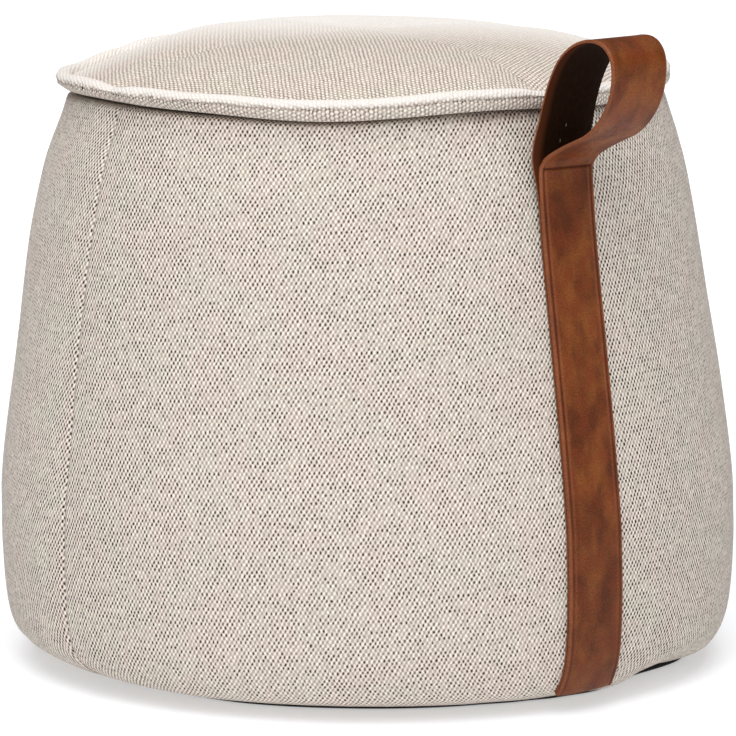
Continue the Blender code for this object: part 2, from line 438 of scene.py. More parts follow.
def off_seam(point):
    """Distance round the pouf from a point to the nearest quarter seam, signed."""
    turn = math.atan2(point.y, point.x)
    return math.hypot(point.x, point.y) * (turn - QUARTER_TURN * round(turn / QUARTER_TURN))


def stuffed(point):
    """Where a point of the evenly cut cover lies once the cover is sewn and filled."""
    radius = math.hypot(point.x, point.y)
    near_seam = bump(off_seam(point), SEAM_HALF_WIDTH)
    outer = smooth_step(radius, RIM_WAVE_START_RADIUS, RIM_WAVE_FULL_RADIUS)
    upper = smooth_step(point.z, RIM_WAVE_START_HEIGHT, SIDE_TOP_HEIGHT)
    on_crown = smooth_step(point.z, CROWN_RIM_HEIGHT, CROWN_RIM_HEIGHT + ROLL_RADIUS)
    off_shoulder = math.remainder(math.atan2(point.y, point.x) - SHOULDER_DIRECTION, 4 * QUARTER_TURN)
    shoulder = SHOULDER_FULLNESS * bump(off_shoulder, SHOULDER_HALF_WIDTH)
    if point.z > SIDE_TOP_HEIGHT:
        shoulder = 0
    shoulder *= smooth_step(point.z, *SHOULDER_HEIGHTS)
    moved = point.copy()
    if radius > 0:
        moved.xy *= 1 + (shoulder - SEAM_PULL * near_seam) * outer / radius
    sink = SEAM_SINK + ROLL_SINK * smooth_step(radius, *SEAM_SINK_RADII)
    moved.z += wave_at(RIM_WAVE, point.x, point.y) * outer * upper - sink * near_seam * on_crown
    return lean(moved)


def pushed(point, out, up=0.0):
    """A point moved away from the axis and up."""
    radius = math.hypot(point.x, point.y)
    if radius == 0:
        return point + Vector((0, 0, up))
    return Vector((point.x * (1 + out / radius), point.y * (1 + out / radius), point.z + up))


def rim_gathers(point, look):
    """How far the gathered cloth stands out and up beside the seam under the roll."""
    near = bump(point.z - RIM_SEAM_HEIGHT, GATHER_HALF_HEIGHT)
    turn = turn_from_strap(point.x, point.y)
    # The gathers are half as deep beside the strap
    near *= 0.5 + 0.5 * smooth_step(turn, *GATHERS_DEEPEN) * (1 - smooth_step(turn, *GATHERS_FADE))
    depth = 0.5 * puckers(point, *FINE_GATHERS) + 0.6 * puckers(point, *COARSE_GATHERS) - 0.15
    rise = puckers(point, *LONG_WAVES) + 0.6 * puckers(point, *SHORT_WAVES)
    return look.gather_depth * near * depth, GATHER_RISE * near * rise


def painted_seam_shade(point):
    """Painted shade in the gathers of the rim's seam: how much darker the cloth is painted there."""
    turn = turn_from_strap(point.x, point.y)
    on_left = smooth_step(turn, *SHADE_LEFT_START) * (1 - smooth_step(turn, *SHADE_LEFT_END))
    half_height = SHADE_HALF_HEIGHT + SHADE_LEFT_GROWTH * on_left
    near = bump(point.z - RIM_SEAM_HEIGHT + SHADE_DROP, half_height) * (1 + SHADE_LEFT_SHARE * on_left)
    return near * max(0, 0.35 + puckers(point, *PAINTED_SHADE_GATHERS))


def puckers(point, size, layer=0.0):
    """Uneven gathers along a seam, from -1 to 1, that lean a little. Each layer has gathers of its own."""
    place = pushed(point, 0.0, layer)
    turn = math.atan2(place.y, place.x)
    around = Vector((math.cos(turn), math.sin(turn), 0)) * (ROLL_CENTRE_RADIUS / size)
    fold = noise.noise(around + Vector((0, 0, place.z / (2.5 * size))))
    return max(-1, min(1, 1.6 * fold))


# Materials

def new_material(name):
    material = bpy.data.materials.new(name)
    material.use_nodes = True
    return material, material.node_tree, material.node_tree.nodes["Principled BSDF"]


def node(tree, kind, values=(), **settings):
    """A node with its settings, and its inputs linked or set in order. None leaves an input as it is."""
    made = tree.nodes.new(kind)
    for name, value in settings.items():
        setattr(made, name, value)
    for socket, value in zip(made.inputs, values):
        if isinstance(value, bpy.types.NodeSocket):
            tree.links.new(value, socket)
        elif value is not None:
            socket.default_value = value
    return made


def calc(tree, operation, *values):
    return node(tree, "ShaderNodeMath", values, operation=operation).outputs[0]


def remap(tree, value, low, high, new_low=0.0, new_high=1.0, smooth=True):
    kind = "SMOOTHSTEP" if smooth else "LINEAR"
    made = node(tree, "ShaderNodeMapRange", (value, low, high, new_low, new_high), interpolation_type=kind)
    return made.outputs[0]


def mix_colours(tree, share, first, second, blend="MIX"):
    made = tree.nodes.new("ShaderNodeMix")
    made.data_type = "RGBA"
    made.blend_type = blend
    made.clamp_factor = True
    for socket, value in ((made.inputs[0], share), (made.inputs[6], first), (made.inputs[7], second)):
        if isinstance(value, bpy.types.NodeSocket):
            tree.links.new(value, socket)
        else:
            socket.default_value = value
    return made.outputs[2]


def cloudiness(tree, vector, scale, detail=2.0, stretch=(1.0, 1.0, 1.0)):
    """Smooth noise from about 0 to 1, as clouds of 1/scale across."""
    placed = node(tree, "ShaderNodeVectorMath", (vector, stretch), operation="MULTIPLY").outputs[0]
    made = node(tree, "ShaderNodeTexNoise", (placed, None, scale, detail))
    return made.outputs["Fac"]


def colour(values):
    return (*values, 1.0)


def set_values(shader, values):
    """Set the shader's own sockets by their names."""
    for name, value in values.items():
        shader.inputs[name].default_value = value


def add_relief(tree, shader, height, strength, distance):
    """Bend the light as if the surface rose by this distance for each 1 of the height."""
    raised = node(tree, "ShaderNodeBump", (strength, distance))
    tree.links.new(height, raised.inputs["Height"])
    tree.links.new(raised.outputs[0], shader.inputs["Normal"])


def wandered(tree, place, scale, detail, reach):
    """Places moved about by smooth noise, half of the reach either way."""
    drift = node(tree, "ShaderNodeTexNoise", (place, None, scale, detail)).outputs["Color"]
    for operation, value in (("SUBTRACT", (0.5, 0.5, 0.5)), ("MULTIPLY", reach), ("ADD", place)):
        drift = node(tree, "ShaderNodeVectorMath", (drift, value), operation=operation).outputs[0]
    return drift


def woven_cloth(name, look, lift_share, rib_share, dark_share):
    """Coarse plain weave: light slanting warp grains over a weft that runs from oatmeal to dark brown, with
    painted shade in the weave's hollows.

    The lift share is how much of the relief is the warp's rise and fall over the weft, and the rib share
    how much is the round back of each weft row. The dark share is how strongly the dark fibres show.
    """
    material, tree, shader = new_material(name)
    flat = node(tree, "ShaderNodeUVMap", uv_map=UV_NAME).outputs[0]

    # Yarns wander a little from their straight lines
    flat = wandered(tree, flat, 110.0, 2.0, (0.0019, 0.0016, 0.0))
    flat = wandered(tree, flat, 520.0, 1.0, (0.0009, 0.0010, 0.0))
    parts = node(tree, "ShaderNodeSeparateXYZ", (flat,)).outputs
    across = calc(tree, "DIVIDE", parts[0], look.warp_spacing)
    upward = calc(tree, "DIVIDE", parts[1], look.weft_spacing)
    warp_number = calc(tree, "FLOOR", across)
    weft_number = calc(tree, "FLOOR", upward)

    # Over is 1 where a warp yarn lies on top, and -1 where the weft does. The grains lean to the right.
    rising = calc(tree, "COSINE", calc(tree, "MULTIPLY", calc(tree, "SUBTRACT", across, upward), math.pi))
    falling = calc(tree, "COSINE", calc(tree, "MULTIPLY", calc(tree, "ADD", across, upward), math.pi))
    over = calc(tree, "MULTIPLY", falling, (look.grain_lean - 1) * lift_share)
    over = calc(tree, "MULTIPLY_ADD", rising, look.grain_lean * lift_share, over)
    between_rows = calc(tree, "COSINE", calc(tree, "MULTIPLY", upward, 2 * math.pi))
    over = calc(tree, "MULTIPLY_ADD", between_rows, -rib_share, over)

    # The dark fibres of the weft come and go along each row, and differ from one crossing to the next
    along = calc(tree, "MULTIPLY", across, 0.10)
    row = calc(tree, "MULTIPLY", weft_number, 3.7)
    along_weft = node(tree, "ShaderNodeCombineXYZ", (along, row, 0.0)).outputs[0]
    streak = node(tree, "ShaderNodeTexNoise", (along_weft, None, 1.0, 2.0)).outputs["Fac"]
    crossing = node(tree, "ShaderNodeCombineXYZ", (warp_number, weft_number, 0.0)).outputs[0]
    single = node(tree, "ShaderNodeTexWhiteNoise", (crossing,), noise_dimensions="2D").outputs["Value"]
    patch = cloudiness(tree, flat, 30.0, 3.0)
    dark_fibres_and_shade = calc(tree, "MULTIPLY_ADD", single, 0.42, streak)
    dark_fibres_and_shade = calc(tree, "MULTIPLY_ADD", patch, 0.25, dark_fibres_and_shade)
    dark_fibres_and_shade = remap(tree, dark_fibres_and_shade, look.dark_start, look.dark_start + 0.42, 0.10, dark_share)
    # The openness attribute scales the dark fibres, and also adds painted shade and painted shadow
    openness = node(tree, "ShaderNodeAttribute", attribute_name=OPENNESS_AND_PAINTED_LIGHT).outputs["Fac"]
    dark_fibres_and_shade = calc(tree, "MULTIPLY", dark_fibres_and_shade, openness)

    grain = node(tree, "ShaderNodeTexNoise", (flat, None, 900.0, 2.0)).outputs["Fac"]
    single_warp = remap(tree, calc(tree, "ADD", grain, calc(tree, "MULTIPLY", single, 0.35)), 0.35, 0.95)
    light = mix_colours(tree, single_warp, colour(look.warp_dark), colour(look.warp_light))
    # Low openness, which paints the crown's back and the roll lighter, lets the pale yarn backs show
    closed = remap(tree, openness, 0.0, 0.9, 0.80, 0.0, smooth=False)
    on_top = calc(tree, "MAXIMUM", remap(tree, over, -0.45, 0.75), closed)
    # Where the weave dips, the mid-beige weft shows, partly as painted shade on the dipping warp's sides
    yarn = mix_colours(tree, on_top, colour(look.weft_light), light)
    # The hollows are painted with the darkest weft: partly its dark fibres, partly painted shade in the
    # hollows
    hollow = remap(tree, over, -0.12, -0.80)
    yarn = mix_colours(tree, calc(tree, "MULTIPLY", hollow, dark_fibres_and_shade), yarn, colour(look.weft_dark_and_hollow_shade))

    # Clouds of pinker and greener oatmeal
    tint = remap(tree, cloudiness(tree, flat, 30.0, 3.0), 0.38, 0.62)
    tinted = mix_colours(tree, tint, (0.975, 0.995, 0.975, 1.0), (1.010, 0.985, 0.985, 1.0))
    yarn = mix_colours(tree, 1.0, yarn, tinted, "MULTIPLY")
    # Where the weave is closed, only the pale backs of the yarns show; this paints a sheen on the crown's
    # back and a highlight on the roll
    yarn = mix_colours(tree, closed, yarn, colour(look.yarn_back_and_sheen))
    tree.links.new(yarn, shader.inputs["Base Color"])

    fuzz = node(tree, "ShaderNodeTexNoise", (flat, None, 2300.0, 2.0)).outputs["Fac"]
    add_relief(tree, shader, calc(tree, "MULTIPLY_ADD", fuzz, 0.5, over), look.weave_relief, 0.0005)
    set_values(shader, {"Roughness": 0.92, "Specular IOR Level": 0.15})
    set_values(shader, {"Sheen Weight": 0.05, "Sheen Roughness": 0.5})
    return material


def band_distance(look, height, outer):
    """Distance along the whole band to where its inner or outer ply reaches a height."""
    path = strap_path(look)
    steps = list(zip(path, running_lengths(path)))
    if outer:
        steps.reverse()
    return next(distance for point, distance in steps if point.y >= height)


def grain_leather(name, look):
    """Waxed tan leather: cloudy colour and fine pores, dark creases beside the edges of its sewn part
    painted as shade, painted highlights beside them, and painted shade where it meets the cloth and towards
    its lower end.
    """
    material, tree, shader = new_material(name)
    band = node(tree, "ShaderNodeUVMap", uv_map=UV_NAME).outputs[0]
    parts = node(tree, "ShaderNodeSeparateXYZ", (band,)).outputs
    clouds = remap(tree, cloudiness(tree, band, 60.0, 5.0, (1.0, 0.55, 1.0)), 0.36, 0.66)
    base = mix_colours(tree, clouds, colour(look.leather_dark), colour(look.leather_light))
    redness = remap(tree, cloudiness(tree, band, 110.0, 3.0, (1.0, 0.7, 1.0)), 0.42, 0.62)
    base = mix_colours(tree, calc(tree, "MULTIPLY", redness, 0.6), base, colour(look.leather_red))

    # The crease marks fade towards the lower end, and beside each crease the leather is painted lighter as a
    # highlight on its ridge
    from_middle = calc(tree, "ABSOLUTE", parts[0])
    crease = STRAP_WIDTH / 2 - look.crease_inset
    cross = band_distance(look, CROSS_STITCH_HEIGHT, True)
    sewn_part = remap(tree, parts[1], cross - CREASE_FADE, cross)
    crease_marks_fade = remap(tree, parts[1], cross + 0.12, cross + 0.30, 1.0, 0.45)
    sewn_part = calc(tree, "MULTIPLY", sewn_part, crease_marks_fade)
    from_ridge = calc(tree, "ABSOLUTE", calc(tree, "SUBTRACT", from_middle, crease - 0.0016))
    ridge_highlight = remap(tree, from_ridge, 0.0, 0.0014, 0.45, 0.0)
    base = mix_colours(tree, calc(tree, "MULTIPLY", ridge_highlight, sewn_part), base, colour(look.leather_ridge_highlight))
    # Painted highlight along the rounded border between each crease and the edge
    border_highlight = remap(tree, from_middle, crease + 0.0008, STRAP_WIDTH / 2 - 0.0008, 0.0, 0.55)
    base = mix_colours(tree, border_highlight, base, colour(look.leather_ridge_highlight))
    # Painted shade in the creases beside the edges and in the cross crease under the loop
    from_crease = calc(tree, "ABSOLUTE", calc(tree, "SUBTRACT", from_middle, crease))
    crease_shade = calc(tree, "MULTIPLY", remap(tree, from_crease, 0.0001, 0.0011, 0.80, 0.0), sewn_part)
    base = mix_colours(tree, crease_shade, base, colour(look.leather_crease_shade))
    from_cross = calc(tree, "ABSOLUTE", calc(tree, "SUBTRACT", parts[1], cross))
    cross_crease_shade = remap(tree, from_cross, 0.0002, 0.0013, 0.85, 0.0)
    cross_crease_shade = calc(tree, "MULTIPLY", cross_crease_shade, remap(tree, from_middle, crease, crease + 0.0005, 1.0, 0.0))
    base = mix_colours(tree, cross_crease_shade, base, colour(look.leather_crease_shade))

    # Painted shade: the first ply's edge is painted dark where it meets the cloth
    contact_shade = calc(tree, "MULTIPLY", remap(tree, parts[1], 0.30, 0.33, 1.0, 0.0),
                         remap(tree, from_middle, STRAP_WIDTH / 2 - 0.0002, STRAP_WIDTH / 2, 1.0, 0.0))
    base = mix_colours(tree, contact_shade, base, colour(look.flesh_dark_and_shade))
    pores = node(tree, "ShaderNodeTexVoronoi", (band, None, 1300.0), feature="F1").outputs["Distance"]
    mottle = node(tree, "ShaderNodeTexNoise", (band, None, 850.0, 3.0)).outputs["Fac"]
    speck = remap(tree, mottle, 0.32, 0.70, 0.74, 1.26, smooth=False)
    base = mix_colours(tree, 1.0, base, speck, "MULTIPLY")
    # Painted shade: the band is painted darker towards its lower end
    lower_end_shade = remap(tree, parts[1], cross + 0.10, cross + 0.32, 1.0, 0.86)
    base = mix_colours(tree, 1.0, base, lower_end_shade, "MULTIPLY")
    tree.links.new(base, shader.inputs["Base Color"])
    shine = remap(tree, cloudiness(tree, band, 300.0, 3.0), 0.3, 0.7, 0.36, 0.54, smooth=False)
    tree.links.new(shine, shader.inputs["Roughness"])
    add_relief(tree, shader, calc(tree, "MULTIPLY_ADD", mottle, 0.8, pores), 0.6, 0.00030)
    set_values(shader, {"Specular IOR Level": 0.17})
    return material


def flesh_leather(name, look):
    """The band's dark brown inner side, a little fibrous, painted darker still as shade inside the loop."""
    material, tree, shader = new_material(name)
    band = node(tree, "ShaderNodeUVMap", uv_map=UV_NAME).outputs[0]
    fibres = cloudiness(tree, band, 500.0, 4.0, (1.0, 0.4, 1.0))
    base = mix_colours(tree, fibres, colour(look.flesh_dark_and_shade), colour(look.flesh_light_and_shade))
    # Only the -X margin is painted lighter: partly the grain leather's edge showing on this side, partly
    # painted light on that side
    across = node(tree, "ShaderNodeSeparateXYZ", (band,)).outputs[0]
    margin = remap(tree, across, 0.0075 - STRAP_WIDTH / 2, 0.0030 - STRAP_WIDTH / 2, 0.0, 0.85)
    base = mix_colours(tree, margin, base, colour(look.flesh_margin_and_light))
    tree.links.new(base, shader.inputs["Base Color"])
    add_relief(tree, shader, fibres, 0.4, 0.0002)
    set_values(shader, {"Roughness": 0.85, "Specular IOR Level": 0.05})
    return material


def spun_thread(name, shade):
    """Twisted sewing thread."""
    material, tree, shader = new_material(name)
    place = node(tree, "ShaderNodeTexCoord").outputs["Object"]
    twist = node(tree, "ShaderNodeTexWave", (place, 450.0), bands_direction="DIAGONAL").outputs["Fac"]
    darker = tuple(0.5 * value for value in shade)
    base = mix_colours(tree, twist, colour(darker), colour(shade))
    tree.links.new(base, shader.inputs["Base Color"])
    set_values(shader, {"Roughness": 0.7})
    return material


def base_cloth_material(name, look):
    """Black non-woven cloth with a fine speckle."""
    material, tree, shader = new_material(name)
    place = node(tree, "ShaderNodeTexCoord").outputs["Object"]
    speckle = cloudiness(tree, place, 900.0, 3.0)
    darker = tuple(0.45 * value for value in look.base_black)
    base = mix_colours(tree, speckle, colour(darker), colour(look.base_black))
    tree.links.new(base, shader.inputs["Base Color"])
    add_relief(tree, shader, speckle, 0.4, 0.0003)
    set_values(shader, {"Roughness": 0.9})
    return material


def material_once(name, maker, *values, **settings):
    """A material by name, made the first time that it is asked for."""
    return bpy.data.materials.get(name) or maker(name, *values, **settings)


def side_weave(look):
    return material_once("side_weave", woven_cloth, look, lift_share=1.0, rib_share=0.0, dark_share=1.0)


def top_weave(look):
    return material_once("top_weave", woven_cloth, look, lift_share=0.60, rib_share=0.45, dark_share=0.9)


# Meshes

def add_piece(name, shape, materials, stands_for=()):
    """Turn a bmesh into a smooth shaded piece that rides on the pouf and replaces its plain solids."""
    mesh = bpy.data.meshes.new(name)
    shape.to_mesh(mesh)
    shape.free()
    mesh.shade_smooth()
    mesh.set_sharp_from_angle(angle=CREASE_ANGLE)
    for material in materials:
        mesh.materials.append(material)
    piece = bpy.data.objects.new(name, mesh)
    bpy.context.scene.collection.objects.link(piece)
    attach(piece, ROOT_BODY)
    if stands_for:
        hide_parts(*stands_for)
    return piece


def lay_flat(shape, flat_place):
    """Write the UV map: where each corner lies on the flat cloth, in metres."""
    layer = shape.loops.layers.uv.new(UV_NAME)
    places = {vert: flat_place(vert.co) for vert in shape.verts}
    for face in shape.faces:
        for loop in face.loops:
            loop[layer].uv = places[loop.vert]


def set_openness_and_painted_light(shape, openness):
    """Write how open the weave is at each corner, and the painted shade, shadow, sheen and highlight that it
    also carries: 0 hides its dark fibres, and 1 shows them.
    """
    layer = shape.verts.layers.float.new(OPENNESS_AND_PAINTED_LIGHT)
    for vert in shape.verts:
        vert[layer] = openness(vert.co)


def turned_quarter(outline, columns):
    """Quarter solid swept by turning a closed outline about the Z axis, from +X to +Y."""
    shape = bmesh.new()
    corners = [shape.verts.new((point.x, 0, point.y)) for point in outline]
    section = shape.faces.new(corners)
    bmesh.ops.spin(shape, geom=[section, *section.edges, *section.verts], cent=(0, 0, 0), axis=(0, 0, 1),
                   angle=QUARTER_TURN, steps=columns)
    bmesh.ops.remove_doubles(shape, verts=shape.verts, dist=WELD_DISTANCE)
    bmesh.ops.dissolve_degenerate(shape, edges=shape.edges, dist=WELD_DISTANCE)
    bmesh.ops.recalc_face_normals(shape, faces=shape.faces)
    return shape


def full_turn(outline, columns, closed):
    """Shell swept by turning a line all the way about the Z axis. A closed line goes back to its start."""
    shape = bmesh.new()
    corners = [shape.verts.new((point.x, 0, point.y)) for point in outline]
    following = corners[1:] + corners[:1] if closed else corners[1:]
    for pair in zip(corners, following):
        shape.edges.new(pair)
    bmesh.ops.spin(shape, geom=[*shape.edges, *shape.verts], cent=(0, 0, 0), axis=(0, 0, 1),
                   angle=4 * QUARTER_TURN, steps=columns, use_merge=True)
    bmesh.ops.remove_doubles(shape, verts=shape.verts, dist=WELD_DISTANCE)
    bmesh.ops.recalc_face_normals(shape, faces=shape.faces)
    return shape


def crowd_to_seams(shape, crowding):
    """Draw the columns of an even quarter turn closer together beside its two seams."""
    for vert in shape.verts:
        radius = math.hypot(vert.co.x, vert.co.y)
        share = math.atan2(vert.co.y, vert.co.x) / QUARTER_TURN
        share -= crowding * math.sin(4 * QUARTER_TURN * share) / (4 * QUARTER_TURN)
        vert.co.x = radius * math.cos(share * QUARTER_TURN)
        vert.co.y = radius * math.sin(share * QUARTER_TURN)


def quarter_to_place(shape, number):
    """Draw a quarter back from its seams by half the gap, and turn it to its place round the axis."""
    bmesh.ops.translate(shape, verts=shape.verts, vec=(SEAM_GAP / 2, SEAM_GAP / 2, 0))
    turn = Matrix.Rotation(number * QUARTER_TURN, 3, "Z")
    bmesh.ops.rotate(shape, verts=shape.verts, cent=(0, 0, 0), matrix=turn)


def side_curve(look):
    """Smooth outline of the side from its bottom edge to its top edge, as (radius, height)."""
    rows = [Vector((look.widest_radius - drawn_in, height)) for height, drawn_in in SIDE_SECTIONS]
    return smooth_curve(rows, SIDE_ROWS_PER_SECTION)


def curve_value(curve, lengths, height):
    """Radius and running length of an outline at a height."""
    height = min(max(height, curve[0].y), curve[-1].y)
    for index, (start, end) in enumerate(zip(curve, curve[1:])):
        if height <= end.y:
            share = (height - start.y) / max(end.y - start.y, WELD_DISTANCE)
            radius = start.x + share * (end.x - start.x)
            return radius, lengths[index] + share * (lengths[index + 1] - lengths[index])


def side_unevenness(point, look):
    """How far the filled side lies in or out of its even outline at a point."""
    soft = look.side_swell * noise.noise(point * SIDE_SWELLS_PER_METRE)
    seam = -look.seam_depth * bump(off_seam(point), look.seam_width)
    under_rim = smooth_step(point.z, UPPER_GATHER_START, SIDE_TOP_HEIGHT)
    above_base = 1 - smooth_step(point.z, *LOWER_GATHER_FADE)
    gathers = SIDE_GATHER_DEPTH * puckers(point, SIDE_GATHER_WIDTH) * max(under_rim, above_base)
    return soft + seam + gathers


def on_side(point, look):
    """Where a point of the even side lies on the uneven one, before the whole cover is filled."""
    turn = math.remainder(turn_from_strap(point.x, point.y), 360)
    outer = smooth_step(math.hypot(point.x, point.y), *SIDE_OUTER_RADII)
    out = side_unevenness(point, look)
    recess = look.strap_recess * bump(turn - RECESS_TURN, RECESS_HALF_WIDTH)
    out -= recess * smooth_step(point.z, *RECESS_HEIGHTS)
    out += wave_at(HEM_WAVE, point.x, point.y) * (1 - smooth_step(point.z, BASE_TOP, HEM_WAVE_TOP))
    beside_strap = STRAP_TUCK_SHARE * smooth_step(-turn, *STRAP_TUCK_START)
    tucked = smooth_step(turn, *LEFT_TUCK_START) + smooth_step(-turn, *RIGHT_TUCK_START)
    tucked += beside_strap * (1 - smooth_step(-turn, *STRAP_TUCK_END))
    out -= look.hem_tuck * tucked * bump(point.z - TUCK_HEIGHT, TUCK_HALF_HEIGHT)
    lifted = look.hem_lift * bump(turn - HEM_LIFT_TURN, HEM_LIFT_HALF_WIDTH)
    up = lifted * (1 - smooth_step(point.z, *HEM_LIFT_FADE))
    return pushed(point, out * outer, up * outer)


def side_openness_and_painted_shade(point):
    """The side's weave openness, with painted shade under the rim and on the flanks, and a painted shadow
    beside the start of the loop.
    """
    off_view = math.atan2(point.y, point.x) + QUARTER_TURN - CAMERA_AZIMUTH
    flank_shade = smooth_step(abs(math.sin(off_view)), *FLANK_SINES)
    turn = math.remainder(turn_from_strap(point.x, point.y), 360)
    loop_shadow = bump(turn - LOOP_PAINTED_SHADOW_TURN, LOOP_PAINTED_SHADOW_HALF_WIDTH)
    loop_shadow *= smooth_step(point.z, *LOOP_PAINTED_SHADOW_HEIGHTS)
    under_rim = smooth_step(point.z, *UNDER_RIM_HEIGHTS)
    return 1.0 + UNDER_RIM_PAINTED_SHADE * under_rim + FLANK_PAINTED_SHADE * flank_shade + LOOP_PAINTED_SHADOW * loop_shadow


def add_side_panel(number, name, turn, look):
    curve = side_curve(look)
    lengths = running_lengths(curve)
    outline = [Vector((0, curve[0].y)), *curve, Vector((0, curve[-1].y))]
    shape = turned_quarter(outline, SIDE_COLUMNS)
    crowd_to_seams(shape, SIDE_CROWDING)
    cosine, sine = math.cos(turn), math.sin(turn)

    def flat_place(point):
        radius, length = curve_value(curve, lengths, point.z)
        around = radius * (math.atan2(point.y, point.x) - QUARTER_TURN / 2)
        return (around * cosine + length * sine + number, length * cosine - around * sine)

    lay_flat(shape, flat_place)
    quarter_to_place(shape, number)
    set_openness_and_painted_light(shape, side_openness_and_painted_shade)
    for vert in shape.verts:
        vert.co = stuffed(on_side(vert.co, look))
    cloth = side_weave(look)
    panel = add_piece(f"side_cloth_{name}", shape, [cloth], [f"side_panel_{name}"])


def crown_height(radius):
    return CROWN_RIM_HEIGHT + CROWN_RISE * (1 - (radius / CROWN_RADIUS) ** CROWN_FLATNESS)


def crown_curve():
    """Outline of the crown and its roll, from the roll's lower edge over the rim to the axis."""
    curve = [Vector(point) for point in ROLL_UNDERSIDE]
    for row in range(ROLL_ROWS + 1):
        angle = ROLL_START_ANGLE + (ROLL_END_ANGLE - ROLL_START_ANGLE) * row / ROLL_ROWS
        reach = Vector((math.cos(angle), math.sin(angle))) * ROLL_RADIUS
        curve.append(Vector((ROLL_CENTRE_RADIUS, ROLL_CENTRE_HEIGHT)) + reach)
    for row in range(CROWN_ROWS, -1, -1):
        radius = GROOVE_RADIUS * math.sin(QUARTER_TURN * row / CROWN_ROWS)
        curve.append(Vector((radius, crown_height(radius))))
    return curve


def add_top_panel(number, name, turn, look):
    curve = crown_curve()
    lengths = running_lengths(curve)
    underside = SIDE_TOP_HEIGHT + SEAM_GAP
    ledge_radius = FACING_INNER_RADIUS - 2 * SEAM_GAP
    ledge = curve[0].y
    inner = [(0, underside), (ledge_radius, underside), (ledge_radius, ledge)]
    outline = [Vector(point) for point in inner] + curve
    shape = turned_quarter(outline, TOP_COLUMNS)
    crowd_to_seams(shape, TOP_CROWDING)
    tree = KDTree(len(curve))
    for index, point in enumerate(curve):
        tree.insert((point.x, 0, point.y), index)
    tree.balance()
    # Rows run the way the view looks, turned by the panel's own cut, and are stretched over the filling
    row_direction = QUARTER_TURN + CAMERA_AZIMUTH - turn - number * QUARTER_TURN

    def flat_place(point):
        radius = math.hypot(point.x, point.y)
        index = tree.find((radius, 0, point.z))[1]
        from_axis = lengths[-1] - lengths[index]
        angle = math.atan2(point.y, point.x) - row_direction
        across_rows = from_axis * math.sin(angle) * look.weft_spacing / look.top_weft_spacing
        return (from_axis * math.cos(angle) + number, across_rows + 0.5)

    # The top's weave openness, with a painted sheen on the crown's back, a painted highlight on the roll,
    # and painted shade towards the roll's seam
    def openness(point):
        radius = math.hypot(point.x, point.y)
        backward = point.y * math.cos(CAMERA_AZIMUTH) - point.x * math.sin(CAMERA_AZIMUTH)
        crown = CROWN_OPENNESS - CROWN_PAINTED_SHEEN * smooth_step(backward, *CROWN_PAINTED_SHEEN_PLACES)
        roll = ROLL_HIGHLIGHT_OPENNESS + ROLL_SEAM_PAINTED_SHADE * (1 - smooth_step(point.z, *ROLL_SEAM_HEIGHTS))
        on_roll = smooth_step(radius, *ROLL_RADII)
        return crown + on_roll * (roll - crown) + TOP_SHADE * painted_seam_shade(point)

    lay_flat(shape, flat_place)
    quarter_to_place(shape, number)
    set_openness_and_painted_light(shape, openness)
    for vert in shape.verts:
        point = vert.co
        radius = math.hypot(point.x, point.y)
        near_rim = smooth_step(radius, *NEAR_RIM_RADII)
        gather_out, gather_up = rim_gathers(point, look)
        out = near_rim * (TOP_SWELL * noise.noise(point * RIM_SWELLS_PER_METRE) + gather_out)
        swell = TOP_SWELL * noise.noise(point * CROWN_SWELLS_PER_METRE)
        up = swell * smooth_step(point.z, *CROWN_SWELL_HEIGHTS) + near_rim * gather_up
        seam = bump(off_seam(point), look.seam_width) * look.seam_depth
        if point.z > ledge + SEAM_GAP:
            out -= RIM_SEAM_SHARE * seam * near_rim
            up -= CROWN_SEAM_SHARE * seam * (1 - near_rim) * smooth_step(radius, 0.0, CROWN_MIDDLE_RADIUS)
        vert.co = stuffed(pushed(point, out, up))
    cloth = top_weave(look)
    panel = add_piece(f"top_cloth_{name}", shape, [cloth], [f"top_panel_{name}"])


def add_rim_facing(look):
    """Narrow strip of cloth sewn under the roll, gathered along its upper seam and clear of the body."""
    outer = smooth_curve([Vector(point) for point in FACING_SECTION], FACING_STEPS)
    bottom, top = outer[0].y, outer[-1].y
    outline = [Vector((FACING_INNER_RADIUS, bottom)), *outer, Vector((FACING_INNER_RADIUS, top))]
    shape = full_turn(outline, FACING_COLUMNS, True)

    def flat_place(point):
        around = ROLL_CENTRE_RADIUS * math.atan2(point.y, point.x)
        upward = point.z * FACING_STRETCH + around * FACING_SLANT
        return (upward, around * look.weft_spacing / look.top_weft_spacing)

    lay_flat(shape, flat_place)
    # The facing's weave openness, with the painted shade of the rim's seam
    set_openness_and_painted_light(shape, lambda point: FACING_OPENNESS + FACING_SHADE * painted_seam_shade(point))
    for vert in shape.verts:
        point = vert.co
        outside = smooth_step(math.hypot(point.x, point.y), FACING_INNER_RADIUS, FACING_SECTION[0][0])
        gather_out, gather_up = rim_gathers(point, look)
        turn = turn_from_strap(point.x, point.y)
        tucked = smooth_step(turn, *FACING_TUCK_START) * (1 - smooth_step(turn, *FACING_TUCK_END))
        tucked *= 1 - smooth_step(point.z, bottom, RIM_SEAM_HEIGHT)
        swell = FACING_SWELL * noise.noise(point * FACING_SWELLS_PER_METRE)
        out = gather_out + swell - TUCK_IN * tucked
        vert.co = stuffed(pushed(point, outside * out, outside * (gather_up + TUCK_UP * tucked)))
    facing = add_piece("rim_facing_cloth", shape, [top_weave(look)], ["rim_facing"])
    section = running_lengths(outline + outline[:1])[-1]


